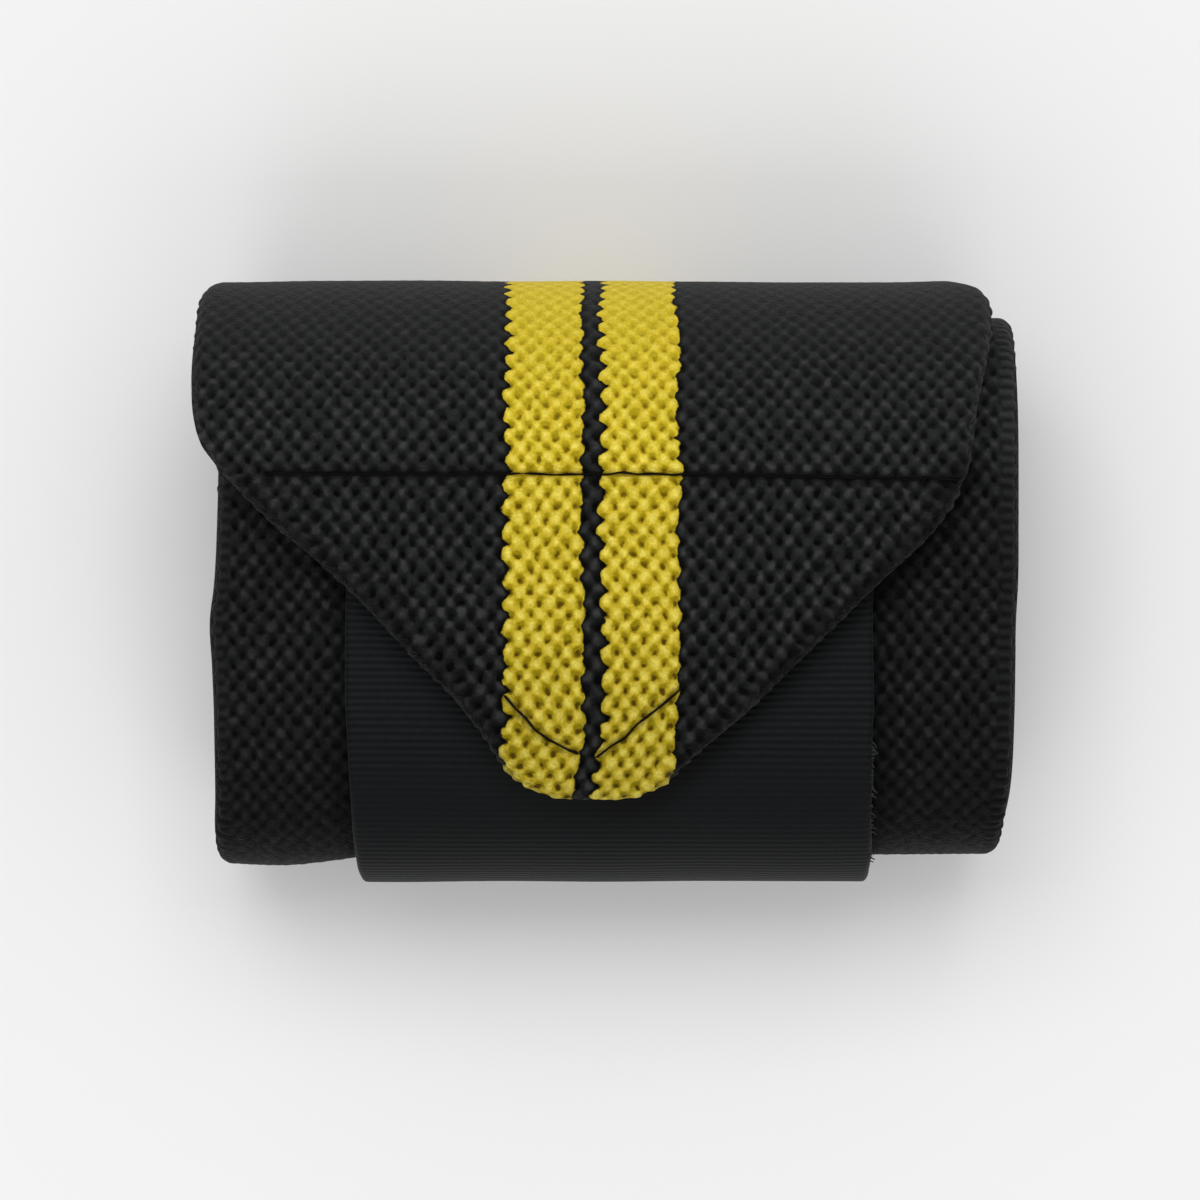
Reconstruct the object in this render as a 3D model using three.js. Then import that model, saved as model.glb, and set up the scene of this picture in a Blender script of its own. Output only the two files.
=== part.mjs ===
// A wrist wrap of thick elastic knit, rolled up flat and held closed by its hook tape.
// Millimetres. X runs across the band's width, Y along the flat of the roll, Z up. The point faces up.
// The origin is the centre of the footprint, on the surface that the roll lies on.
import * as THREE from "three";

// Band
const bandWidth = 76;
const bandThickness = 2.2;
const bandEdgeRound = 0.5;
const turns = 6;
const turnGap = 0.35;
const coreGap = 0.3;
const flatLength = 25.2;

// How far the last turn has slid sideways over the turns inside it, below the roll and part of the way round
const sidewaysSlip = 2.5;
const slipPastFlat = 0.5;

// Point at the outer end: both corners are folded under at 45 degrees
const foldedLayerThickness = 1.8;
const rootFromRoundEnd = 2;
const liftShareOfRoundEnd = 0.75;
const pointLength = 31;
const pointCornerRadius = 5;
const foldStepLength = 0.6;

// Hook tape, sewn under the point
const tapeWidth = 50;
const tapeThickness = 1.2;
const tapeLength = 95;
const tapeEdgeRound = 0.3;
const tapeSetBack = 1;
const tapeShift = 0.4;

// Clear space left between two layers that press on each other
const layerGap = 0.3;

// Facets
const facetsPerRoundEnd = 16;
const facetsPerFlat = 4;
const facetsPerPoint = 12;
const facetsPerPointCorner = 4;
const pathStep = 1e-3;
const largestBevelShare = 0.25;

const pitch = bandThickness + turnGap;
const innermost = coreGap / 2 + bandThickness / 2;
const halfTurnsPerTurn = 2;
const lastHalfTurn = halfTurnsPerTurn * turns - 1;
const tapeOffset = bandThickness / 2 + layerGap + tapeThickness / 2;

// The last turn rises over the tape and the folded layer by this much more than one turn does.
const pointLift = layerGap + tapeThickness + layerGap + foldedLayerThickness - turnGap;

const ease = (share) => share * share * (3 - 2 * share);
const easeBetween = (value, from, to) => ease(THREE.MathUtils.clamp((value - from) / (to - from), 0, 1));

// A half turn is a flat run and the round end after it. Place 3.0 is the start of half turn 3, and 3.5 the end
// of its flat run. Even half turns lie below the core and run to +Y, and odd ones lie above it and run to -Y.
const flatShare = 0.5;
const liftFrom = lastHalfTurn - (1 - flatShare) * liftShareOfRoundEnd;
const liftTo = lastHalfTurn + (flatShare * rootFromRoundEnd) / flatLength;

// How far the band's middle lies from the core at a place. It grows by half a pitch at each round end.
function distanceFromCore(place) {
  const half = Math.floor(place);
  const grown = half + easeBetween(place - half, flatShare, 1);
  return innermost + (grown * pitch) / 2 + pointLift * easeBetween(place, liftFrom, liftTo);
}

// The point of the path at a place, moved outwards by offset, with the outward direction there.
function rollPoint(place, offset) {
  const half = Math.floor(place);
  const share = place - half;
  const run = half % 2 === 0 ? 1 : -1;
  const turned = Math.PI * Math.max(0, (share - flatShare) / (1 - flatShare));
  const along = run * flatLength * (Math.min(share, flatShare) / flatShare - 0.5);
  const outward = new THREE.Vector2(run * Math.sin(turned), -run * Math.cos(turned));
  const distance = distanceFromCore(place) + offset;
  return { position: new THREE.Vector2(along, 0).addScaledVector(outward, distance), outward };
}

// The band's middle slips sideways while the last turn passes below the roll and starts round its end.
function bandMiddle(place) {
  const slipTo = lastHalfTurn - (1 - flatShare) * slipPastFlat;
  const slipped = easeBetween(place, lastHalfTurn - 1, slipTo);
  return sidewaysSlip * (0.5 - slipped);
}

// Places with even facets on the flat runs and round ends between two places.
function placesBetween(from, to) {
  const places = [from];
  for (let half = Math.floor(from); half <= to; half++) {
    for (let i = 0; i < facetsPerFlat; i++) places.push(half + (flatShare * i) / facetsPerFlat);
    for (let i = 0; i < facetsPerRoundEnd; i++) {
      places.push(half + flatShare + ((1 - flatShare) * i) / facetsPerRoundEnd);
    }
  }
  places.push(to);
  return places.filter((place) => place >= from && place <= to);
}

// The place that lies a length further along the path, measured at an offset from the band's middle.
function placeFurther(from, length, offset) {
  let place = from;
  let gone = 0;
  while (gone < length) {
    const here = rollPoint(place, offset).position;
    place += pathStep;
    gone += here.distanceTo(rollPoint(place, offset).position);
  }
  return place;
}

// The sections' corners, in turn round the strip: a flat bar with chamfered edges.
function barSection({ place, left, right, outer, inner, round }) {
  const bevel = Math.min(round, (right - left) * largestBevelShare, (outer - inner) * largestBevelShare);
  const corners = [
    [left + bevel, inner], [right - bevel, inner], [right, inner + bevel], [right, outer - bevel],
    [right - bevel, outer], [left + bevel, outer], [left, outer - bevel], [left, inner + bevel],
  ];
  return corners.map(([x, offset]) => {
    const { position } = rollPoint(place, offset);
    return new THREE.Vector3(x, position.x, position.y);
  });
}

// A closed strip lofted through its sections, with a flat face at each end.
function loft(sections) {
  const count = sections[0].length;
  const positions = sections.flat().flatMap((corner) => corner.toArray());
  const index = [];
  const last = (sections.length - 1) * count;
  for (let i = 0; i < sections.length - 1; i++) {
    for (let j = 0; j < count; j++) {
      const a = i * count + j;
      const b = i * count + ((j + 1) % count);
      index.push(a, b, b + count, a, b + count, a + count);
    }
  }
  for (let j = 1; j < count - 1; j++) {
    index.push(0, j + 1, j, last, last + j, last + j + 1);
  }
  const geometry = new THREE.BufferGeometry();
  geometry.setAttribute("position", new THREE.Float32BufferAttribute(positions, 3));
  geometry.setIndex(index);
  geometry.computeVertexNormals();
  return geometry;
}

// Half the point's width at a length from its root: 45 degree sides, rounded over to a blunt tip.
const roundMiddle = pointLength - pointCornerRadius;
const roundStart = roundMiddle + pointCornerRadius * Math.SQRT1_2;
function pointHalfWidth(fromRoot) {
  if (fromRoot < roundStart) return bandWidth / 2 - Math.max(0, fromRoot);
  const bluntHalf = bandWidth / 2 - roundMiddle - pointCornerRadius * Math.SQRT2;
  const past = Math.min(fromRoot - roundMiddle, pointCornerRadius);
  return bluntHalf + Math.sqrt(pointCornerRadius ** 2 - past ** 2);
}

function bandSection(place, halfWidth, folded) {
  const middle = bandMiddle(place);
  return barSection({
    place,
    left: middle - halfWidth,
    right: middle + halfWidth,
    outer: bandThickness / 2,
    inner: -bandThickness / 2 - folded * foldedLayerThickness,
    round: bandEdgeRound,
  });
}

// Lengths from the point's root at which it gets a section.
function pointLengths() {
  const lengths = [];
  for (let i = 0; i <= facetsPerPoint; i++) {
    lengths.push(foldStepLength + ((roundStart - foldStepLength) * i) / facetsPerPoint);
  }
  for (let i = 1; i <= facetsPerPointCorner; i++) {
    const turned = (Math.PI / 4) * (1 + i / facetsPerPointCorner);
    lengths.push(roundMiddle + pointCornerRadius * Math.sin(turned));
  }
  return lengths;
}

function makeBand() {
  const root = liftTo;
  const sections = placesBetween(0, root).map((place) => bandSection(place, bandWidth / 2, 0));
  for (const length of pointLengths()) {
    const place = placeFurther(root, length, bandThickness / 2);
    sections.push(bandSection(place, pointHalfWidth(length), 1));
  }
  return loft(sections);
}

// The tape rides on the turn inside the last one, under the point, and follows it below the roll.
function makeTape() {
  const start = placeFurther(liftTo - halfTurnsPerTurn, tapeSetBack, tapeOffset);
  const end = placeFurther(start, tapeLength, tapeOffset);
  const sections = placesBetween(start, end).map((place) =>
    barSection({
      place,
      left: tapeShift - tapeWidth / 2,
      right: tapeShift + tapeWidth / 2,
      outer: tapeOffset + tapeThickness / 2,
      inner: tapeOffset - tapeThickness / 2,
      round: tapeEdgeRound,
    }),
  );
  return loft(sections);
}

const knit = new THREE.MeshStandardMaterial({ color: 0x2a2b2c, roughness: 0.95, metalness: 0 });
const weave = new THREE.MeshStandardMaterial({ color: 0x20262b, roughness: 0.7, metalness: 0 });

function makeWrap() {
  const roll = new THREE.Group();
  for (const [name, geometry, material] of [
    ["wrap_band", makeBand(), knit],
    ["hook_tape", makeTape(), weave],
  ]) {
    const mesh = new THREE.Mesh(geometry, material);
    mesh.name = name;
    roll.add(mesh);
  }
  const box = new THREE.Box3().setFromObject(roll, true);
  roll.position.set(-(box.min.x + box.max.x) / 2, -(box.min.y + box.max.y) / 2, -box.min.z);
  const wrap = new THREE.Group();
  wrap.add(roll);
  return wrap;
}

const wrap = makeWrap();
export default wrap;
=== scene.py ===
"""A rolled wrist wrap of thick elastic knit with two yellow stripes, its sewn point and its hook tape.

Shapes are worked out in millimetres in the frame's axes and turned into metres where a mesh is made.
X runs across the band, Y along the flat of the roll, Z up.
"""

import math

import bpy
import numpy as np
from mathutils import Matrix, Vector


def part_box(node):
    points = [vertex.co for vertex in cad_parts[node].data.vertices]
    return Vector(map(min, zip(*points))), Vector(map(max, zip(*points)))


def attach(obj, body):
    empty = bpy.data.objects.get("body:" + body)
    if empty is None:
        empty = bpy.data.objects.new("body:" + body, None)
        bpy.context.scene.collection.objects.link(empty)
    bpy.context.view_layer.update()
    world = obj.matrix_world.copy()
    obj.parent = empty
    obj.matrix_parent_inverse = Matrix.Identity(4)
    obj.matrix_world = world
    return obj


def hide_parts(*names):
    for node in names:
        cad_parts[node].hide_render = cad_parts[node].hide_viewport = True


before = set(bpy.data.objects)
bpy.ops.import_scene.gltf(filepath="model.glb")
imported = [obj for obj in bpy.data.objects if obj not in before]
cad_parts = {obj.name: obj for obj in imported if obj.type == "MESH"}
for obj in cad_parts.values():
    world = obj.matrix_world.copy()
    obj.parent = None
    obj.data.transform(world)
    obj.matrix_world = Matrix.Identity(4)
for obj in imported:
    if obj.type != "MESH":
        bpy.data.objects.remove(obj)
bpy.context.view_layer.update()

MM = 0.001

# The roll, as the frame has it. A half turn is a flat run and the round end after it: place 3.0 is the start of
# half turn 3, and 3.5 the end of its flat run. Even half turns lie below the core and run to +Y, and odd ones
# lie above it and run to -Y.
BAND_WIDTH = 76.0
THICKNESS = 2.2
TURN_GAP = 0.35
CORE_GAP = 0.3
TURNS = 6
FLAT_LENGTH = 25.2
FOLDED_LAYER = 1.8
LAYER_GAP = 0.3
TAPE_THICKNESS = 1.2
ROOT_FROM_ROUND_END = 2.0
PITCH = THICKNESS + TURN_GAP
INNERMOST = CORE_GAP / 2 + THICKNESS / 2
LAST_HALF_TURN = 2 * TURNS - 1
TAPE_OFFSET = THICKNESS / 2 + LAYER_GAP + TAPE_THICKNESS / 2
POINT_LIFT = LAYER_GAP + TAPE_THICKNESS + LAYER_GAP + FOLDED_LAYER - TURN_GAP
FLAT_SHARE = 0.5
LIFT_SHARE_OF_ROUND_END = 0.75
LIFT_FROM = LAST_HALF_TURN - (1 - FLAT_SHARE) * LIFT_SHARE_OF_ROUND_END
LIFT_TO = LAST_HALF_TURN + FLAT_SHARE * ROOT_FROM_ROUND_END / FLAT_LENGTH
OUTER_TURN_FROM = LAST_HALF_TURN - 0.5
NEAR_ROUND_END = (9.5, 10.5)
UNDERSIDE_FROM = 9.9
PAST_TIP = 12.4
PLACE_STEP = 0.0005

# The knit: wales run along the band, and bumps of neighbouring rows are staggered. Wale 0 is the left
# stripe's first bump, and the stripes' edges are given in wales, where they are least wide.
WALE = 1.824
FIRST_YELLOW_X = -9.05
STRIPES = ((0.05, 3.66), (5.10, 8.64))
LEFT_SCALLOP = 0.42
RIGHT_SCALLOP = 0.20
SCALLOP_ROUND = 0.5
STRIPES_MIDDLE = -1.3
STRIPE_DRAWN_IN = 0.035
STRIPES_WIDE_AT = (-30, 0)
TIP_LEANS = 0.95
TIP_LEANS_FROM = (22, 33)
STRIPE_EDGE = 0.15
BESIDE_STRIPE = 0.12
BESIDE_STRIPE_WIDTH = 0.14
BESIDE_STRIPE_LOW = 0.5
PIT_SHARPNESS = 0.7
BUMP_HEIGHT = 0.90
BUMP_TOP = 0.85
PUFFED = 2.4
INNER_RELIEF = 0.25
INNER_STRENGTH = 0.6
INNER_SHADE = 0.8

# The bound edges: how wide they are on the left and right, and the bars across them
SELVEDGE_WIDTHS = (2.4, 2.8)
OUTER_SELVEDGE_WIDTHS = (1.4, 1.4)
SELVEDGE_FADE = 0.7
BARS_PER_ROW = 1.0
BAR_LOW = 0.25
BAR_RISE = 0.60
BAR_RISE_ON_SIDE = 0.3
EDGE_SCALLOP = 0.16

# How the wales, rows, faces and edges wander: how many millimetres, and over what length across and along
WALE_WANDERS = ((0.20, 6.0, 6.0), (0.12, 1.8, 1.8))
ROW_WANDERS = ((0.20, 7.0, 5.0), (0.14, 1.7, 1.7))
FACE_WANDERS = ((0.14, 9.0, 9.0),)
INNER_EDGES_WANDER = 0.35
INNER_EDGES_WANDER_LENGTH = 14.0

# The rows' pitch by the length from the point's root, and the row that lies at the root
ROW_AT_ROOT = 1.0
ROW_PITCH = [
    # from_root, pitch
    (-60.0, 1.10),
    (-20.0, 1.00),
    (-8.0, 0.99),
    (-2.0, 1.08),
    (3.0, 1.13),
    (12.0, 1.16),
    (32.0, 1.20),
]

# How plainly the knit shows. Contrast is of the holes' painted shade and the bumps' painted highlights in the colour,
# relief of their height.
# Shade is painted light and shade: lighter over the far end, darker towards the point's tip and the near end.
OUTER_LOOK = [
    # from_root, contrast, relief, shade
    (-60.0, 0.30, 0.25, 1.0),
    (-34.0, 0.05, 0.08, 1.15),
    (-20.0, 0.05, 0.10, 1.15),
    (-15.0, 0.20, 0.30, 1.12),
    (-9.0, 0.60, 0.75, 1.13),
    (-3.0, 0.85, 0.95, 1.13),
    (4.0, 1.00, 1.00, 1.03),
    (10.0, 1.05, 1.00, 1.00),
    (20.0, 1.30, 1.05, 0.84),
    (27.0, 1.35, 1.05, 0.73),
    (32.1, 1.35, 1.05, 0.69),
]
SECOND_LOOK = [
    # place, contrast, relief, shade
    (8.3, 0.30, 0.25, 1.0),
    (8.7, 0.20, 0.15, 1.0),
    (8.85, 0.40, 0.45, 1.15),
    (8.95, 0.75, 0.75, 1.2),
    (9.05, 0.85, 0.80, 0.90),
    (9.15, 0.90, 0.80, 0.75),
    (9.50, 0.90, 0.80, 0.60),
    (9.57, 0.80, 0.70, 0.44),
    (9.63, 0.65, 0.50, 0.30),
    (9.68, 0.50, 0.25, 0.30),
    (9.73, 0.40, 0.15, 0.52),
    (10.0, 0.40, 0.30, 0.8),
    (10.5, 0.40, 0.30, 0.8),
]
SECOND_TURN_ROWS = [
    # from, to, step
    (8.3, 8.72, 1.6),
    (8.72, 9.03, 0.42),
    (9.03, 9.78, 0.30),
    (9.78, 10.0, 0.45),
    (10.0, 10.5, 0.60),
]

# The second turn's painted shadow beside the tape, from the place where the point lets it show, and painted light and
# shade on its right side
SHADED_BESIDE_TAPE = 0.50
SHADED_FROM = 9.05
SHADED_REACH = 1.3
SHADED_REACH_MORE = 1.0
SHADED_REACHES_FURTHER = (9.3, 9.5)
RIGHT_SIDE_LIGHTER = 0.15
RIGHT_SIDE_DARKER = 0.12
RIGHT_SIDE_FALLS = (8.95, 9.10)

# How much painted shadow the point's edge casts on the layers that it lies on, and painted shade on its own rim, on
# the left and right, and how far
SHADED_BY_POINT = (0.22, 0.70)
SHADED_BY_POINT_WIDTH = 1.4
RIM_SHADED = (0.60, 0.80)
RIM_WIDTH = 2.0
LEFT_TO_RIGHT = 6.0
# Painted shade on the band's rounded edges where they turn away, less on the point's folded rim
EDGE_SHADED = 0.40
FOLDED_EDGE_SHADED = 0.15

# The point: how soon both corners are folded under from its root, and how its rim is rounded
FOLD_STEP = 1.2
FOLD_PATTERN = (-3.0, 1.0)
FOLD_SLANT = 0.4
TIP_ROWS = 12
TIP_CLOSED = 0.0004

# The inner end of the band is doubled, which fills most of the core
CORE_FILLING = 1.2
DOUBLED_TO = (0.42, 0.55)

# The tape: its ribs fade, its edges draw in and it swells where it turns down at the near end, by place
TAPE_LENGTH = 95.0
TAPE_SET_BACK = 1.0
TAPE_RIB = 0.67
TAPE_RIB_HEIGHT = 0.09
TAPE_RIB_BEND = 0.125
RIBS_FADE = (9.52, 9.61)
RIBS_LOWER = 0.6
# How much of the ribs' painted shade fades with them
RIBS_PALER = 0.92
TAPE_NARROWS = (9.45, 9.75)
TAPE_NARROWED_LEFT = 0.9
TAPE_NARROWED_RIGHT = 0.1
TAPE_SWELLS_AT = 9.76
TAPE_SWELLS_FOR = 0.07
TAPE_SWELLING = 0.22
TAPE_UNEVEN = 0.10
TAPE_EVEN_BELOW = (9.8, 10.0)

# Grids, in millimetres between neighbouring points, and points across the plain faces
FINE = 0.30
COARSE = 0.42
SECOND_FINE = 0.32
INNER_COLUMNS = 40
BACK_COLUMNS = 18
OUTER_EDGE_COLUMNS = 8
SECOND_EDGE_COLUMNS = 6
INNER_EDGE_COLUMNS = 5
TAPE_STEP = 0.11
TAPE_COLUMNS = 60
TAPE_EDGE_COLUMNS = 4
SEAM_STEP = 0.25

# Stitches: the lines of the sewn triangle in the point, as corners in x and length from the root
ROOT_SEAM = [(-32.0, 0.1), (6.0, 0.2), (33.2, 0.75)]
POINT_SEAM = [
    (-31.8, 0.2), (-9.4, 21.2), (-6.7, 24.3), (-5.3, 25.4), (-2.1, 27.0), (-0.8, 27.0), (1.9, 25.0), (4.2, 22.9),
    (5.4, 22.0), (6.6, 20.9), (30.4, 0.5),
]
SEAM_DEPTH = 0.25
SEAM_SPREAD = 0.42
SEAM_SWELLING = 0.22
SEAM_SWELLS_AT = 2.0
SEAM_SWELLS_FOR = 1.1
# How wide the seams' darker line is and how much it shows on black and yellow: partly dark thread, partly painted
# shade in the groove
SEAM_SHADED = 0.40
POINT_SEAM_ON_BLACK = 0.25
POINT_SEAM_ON_YELLOW = 0.86
POINT_SEAM_PULL_ON_BLACK = 0.5
STITCH_LENGTH = 2.7
THREAD_RADIUS = 0.115
THREAD_DEPTH = 0.88
THREAD_DIP = 0.12
THREAD_WAVERS = 0.17
THREAD_WAVER_LENGTH = 1.6

# Loose fibres along the tape's right edge, between two lengths from its start
FRAYS = 46
FRAYS_FROM = 24.0
FRAYS_TO = 39.0
FRAY_RADIUS = 0.085
FRAY_REACH = 0.20
FRAY_REACH_MORE = 0.45
FRAY_LEAN = 0.9
FRAY_RISE = 0.8

# The camera: the photograph is 1200 pixels square, and the roll's middle is at MIDDLE_PIXEL in it
PHOTO_PIXELS = 1200
MM_PER_PIXEL = 0.095
MIDDLE_PIXEL = (605.0, 581.5)
MEASURED_HEIGHT = 31.0
CAMERA_DISTANCE = 700.0
SENSOR = 36.0

# Painted light and shade on the tape by place, as it turns down at the near end
TAPE_SHADE = [
    # place, shade
    (9.0, 1.0),
    (9.50, 0.88),
    (9.62, 0.60),
    (9.69, 0.62),
    (9.76, 0.95),
    (11.0, 1.0),
]

# Seeds of the uneven knit of each piece
OUTER_SEED = 3
SECOND_SEED = 21
INNER_SEED = 41
FACE_SEED = 11

# Colours, linear
# Painted highlight on the side of each bump towards the key light
BLACK_PAINTED_HIGHLIGHT = (0.0455, 0.0465, 0.0460)
# Painted sheen: the black is lighter where the knit's contrast is low, as over the round ends
BLACK_PAINTED_SHEEN = (0.0188, 0.0194, 0.0194)
BLACK_KNIT = (0.0134, 0.0140, 0.0140)
# Painted shade on the side of each bump away from the key light
BLACK_LOWER_SIDE_PAINTED_SHADE = (0.0055, 0.0060, 0.0060)
# Painted shade in the holes, also used for the sunk seams
BLACK_RECESS_PAINTED_SHADE = (0.0004, 0.0005, 0.0005)
# Painted highlight on the side of each bump towards the key light
YELLOW_PAINTED_HIGHLIGHT = (0.86, 0.71, 0.115)
YELLOW_KNIT = (0.62, 0.47, 0.026)
# Painted shade on the side of each bump away from the key light
YELLOW_LOWER_SIDE_PAINTED_SHADE = (0.34, 0.255, 0.004)
# Painted shade in the holes, also used for the sunk seams
YELLOW_RECESS_PAINTED_SHADE = (0.12, 0.070, 0.002)
TAPE_BLACK = (0.0058, 0.0071, 0.0080)
THREAD_BLACK = (0.0040, 0.0031, 0.0026)
FIBRE_GREY = (0.030, 0.031, 0.030)
FLOOR_GREY = (0.90, 0.90, 0.90)

# Surfaces: roughness, specular level and sheen
KNIT_FINISH = (0.75, 0.06, 0.05)
TAPE_FINISH = (0.6, 0.08, 0.05)
THREAD_FINISH = (0.8, 0.1, 0.0)
FIBRE_FINISH = (0.7, 0.1, 0.0)
FLOOR_FINISH = (1.0, 0.0, 0.0)
SHEEN_ROUGHNESS = 0.4

# How fine the surfaces' unevenness is, in features a metre, how the fibres lighten and darken them, and how the ribs'
# painted shade darkens and lightens the tape
PATCHES = 600.0
YARNS = 900.0
STRANDS = 1500.0
TAPE_GRAIN = 1800.0
FIBRES = 3200.0
FUZZ = 3800.0
THREAD_FUZZ = 4000.0
TAPE_FUZZ = 5200.0
GRAIN_RANGE = (0.3, 0.7, 0.85, 1.15)
RIB_RANGE = (0.0, 1.0, 0.45, 1.38)

# The studio: an evenly lit surrounding, and soft lights by place, size and power, aimed at the roll
SURROUNDING = 0.57
LIGHTS_AIM = (0, 0, 0.02)
LIGHTS = [
    ("key", (-0.15, 0.9, 1.9), (1.6, 1.2), 16.5),
    ("front", (0.0, -1.4, 1.7), (2.4, 1.2), 12.0),
]
FLOOR_HALF = 3.0

# The outer turn's and the point's two edges: millimetres from the point's root along the face, and X
POINT_EDGES = [
    # from_root, left, right
    (-60.0, -37.4, 35.8),
    (-40.0, -37.3, 34.6),
    (-29.0, -37.5, 33.6),
    (-25.5, -38.3, 34.7),
    (-23.5, -38.6, 36.1),
    (-21.5, -38.85, 36.6),
    (-16.0, -39.05, 36.75),
    (-9.0, -39.2, 35.7),
    (-5.5, -38.95, 35.1),
    (-3.5, -38.5, 34.9),
    (-2.2, -37.95, 34.7),
    (-1.2, -37.2, 34.5),
    (0.0, -36.3, 34.3),
    (1.3, -35.1, 33.7),
    (5.0, -31.3, 31.6),
    (10.5, -24.9, 26.0),
    (16.3, -19.4, 20.0),
    (21.6, -14.2, 14.6),
    (25.5, -11.4, 10.5),
    (27.3, -10.4, 8.6),
    (28.6, -9.7, 7.4),
    (30.2, -8.3, 6.0),
    (31.2, -6.5, 4.4),
    (31.8, -4.8, 2.7),
    (32.1, -3.4, 1.4),
]

# The edges of the turns inside it, by place along the roll
TURN_EDGES = [
    # place, left, right
    (0.0, -37.0, 38.4),
    (8.5, -36.8, 38.9),
    (9.0, -36.85, 39.45),
    (9.13, -37.0, 39.45),
    (9.25, -37.3, 39.4),
    (9.32, -37.7, 39.2),
    (9.4, -37.5, 39.15),
    (9.5, -37.3, 39.05),
    (9.6, -37.3, 38.75),
    (9.66, -37.5, 38.3),
    (9.75, -37.3, 37.9),
    (10.0, -37.4, 37.5),
    (10.5, -37.3, 37.2),
    (11.0, -37.3, 37.0),
]

# How far the band's near end is drawn in beside and under the tape, by X
END_DRAWN_IN = [
    # x, drawn in
    (-38.0, 0.1),
    (-30.0, 0.0),
    (-27.0, 0.35),
    (-24.0, 0.75),
    (0.0, 0.8),
    (24.0, 1.0),
    (36.0, 1.0),
    (39.0, 1.0),
]


def ease(share):
    return share * share * (3 - 2 * share)


def ease_between(value, low, high):
    return ease(np.clip((np.asarray(value, float) - low) / (high - low), 0, 1))


def bell(value, width):
    """1 where the value is 0, and soon nothing past the width on either side."""
    return np.exp(-((value / width) ** 2))


def through(table, column, at):
    """The value of a table's column at places between its rows, on one smooth curve."""
    rows = np.array(table, float)
    x, y = rows[:, 0], rows[:, column]
    slopes = np.gradient(y, x)
    at = np.clip(at, x[0], x[-1])
    i = np.clip(np.searchsorted(x, at) - 1, 0, len(x) - 2)
    step = x[i + 1] - x[i]
    t = (at - x[i]) / step
    rise = y[i] * (2 * t**3 - 3 * t**2 + 1) + y[i + 1] * (3 * t**2 - 2 * t**3)
    return rise + step * (slopes[i] * (t**3 - 2 * t**2 + t) + slopes[i + 1] * (t**3 - t**2))


def cell_random(i, j, seed):
    """A number from 0 to 1 for each pair of whole numbers, the same on every run."""
    mixed = (np.asarray(i, np.int64) * 73856093) ^ (np.asarray(j, np.int64) * 19349663) ^ (seed * 83492791)
    mixed = (mixed ^ (mixed >> 13)) * 1274126177 & 0x7FFFFFFF
    return ((mixed ^ (mixed >> 15)) & 0xFFFF) / 0xFFFF


def drift(x, y, seed):
    """Smooth noise from -1 to 1 with features about one unit wide."""
    i, j = np.floor(x), np.floor(y)
    u, v = ease(x - i), ease(y - j)
    corners = [cell_random(i + a, j + b, seed) for a, b in ((0, 0), (1, 0), (0, 1), (1, 1))]
    low = corners[0] * (1 - u) + corners[1] * u
    high = corners[2] * (1 - u) + corners[3] * u
    return 2 * (low * (1 - v) + high * v) - 1


def wander(table, x, along, seed):
    return sum(much * drift(x / wide, along / long, seed + i) for i, (much, wide, long) in enumerate(table))


def distance_from_core(place):
    half = np.floor(place)
    grown = half + ease_between(place - half, FLAT_SHARE, 1)
    return INNERMOST + grown * PITCH / 2 + POINT_LIFT * ease_between(place, LIFT_FROM, LIFT_TO)


def outward(place):
    """The Y and Z of the direction that points out of the roll at a place, and where the core is there."""
    half = np.floor(place)
    share = place - half
    run = np.where(half % 2 == 0, 1.0, -1.0)
    turned = np.pi * np.maximum(0, (share - FLAT_SHARE) / (1 - FLAT_SHARE))
    core = run * FLAT_LENGTH * (np.minimum(share, FLAT_SHARE) / FLAT_SHARE - 0.5)
    return run * np.sin(turned), -run * np.cos(turned), core


def unplaced(place, offset):
    y, z, core = outward(place)
    distance = distance_from_core(place) + offset
    return core + y * distance, z * distance


# The roll's place in the frame: the tape's lowest face and its nearest end are where the frame has them
tape_low, tape_high = (np.array(corner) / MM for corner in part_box("hook_tape"))
near_end = unplaced(np.linspace(*NEAR_ROUND_END, 201), TAPE_OFFSET + TAPE_THICKNESS / 2)
Y_SHIFT = tape_low[1] - near_end[0].min()
Z_SHIFT = tape_low[2] - near_end[1].min()
TAPE_LEFT, TAPE_RIGHT = tape_low[0], tape_high[0]

# Length along the band's outer face, counted from the point's root
PLACES = np.arange(0, PAST_TIP, PLACE_STEP)
FACE_Y, FACE_Z = unplaced(PLACES, THICKNESS / 2)
FACE_LENGTH = np.concatenate([[0], np.cumsum(np.hypot(np.diff(FACE_Y), np.diff(FACE_Z)))])
FACE_LENGTH -= np.interp(LIFT_TO, PLACES, FACE_LENGTH)


def length_at(place):
    return np.interp(place, PLACES, FACE_LENGTH)


def place_at(length):
    return np.interp(length, FACE_LENGTH, PLACES)


def on_roll(x, place, offset, drawn_in=False):
    """Points at x across the band, at a place along it and an offset out from its middle."""
    y, z = unplaced(place, offset)
    if drawn_in:
        out_y, _, _ = outward(place)
        y = y + through(END_DRAWN_IN, 1, x) * np.maximum(0, -out_y) ** 2
    return np.stack(np.broadcast_arrays(x, y + Y_SHIFT, z + Z_SHIFT), axis=-1)


def distance_to_line(x, along, line):
    """How far points are from a chain of straight lines, and how far along the chain the nearest one is."""
    best = np.full(np.shape(x), np.inf)
    where = np.zeros(np.shape(x))
    gone = 0.0
    for (ax, ay), (bx, by) in zip(line, line[1:]):
        long = math.hypot(bx - ax, by - ay)
        t = np.clip(((x - ax) * (bx - ax) + (along - ay) * (by - ay)) / long**2, 0, 1)
        far = np.hypot(x - ax - t * (bx - ax), along - ay - t * (by - ay))
        nearer = far < best
        best = np.where(nearer, far, best)
        where = np.where(nearer, gone + t * long, where)
        gone += long
    return best, where


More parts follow.
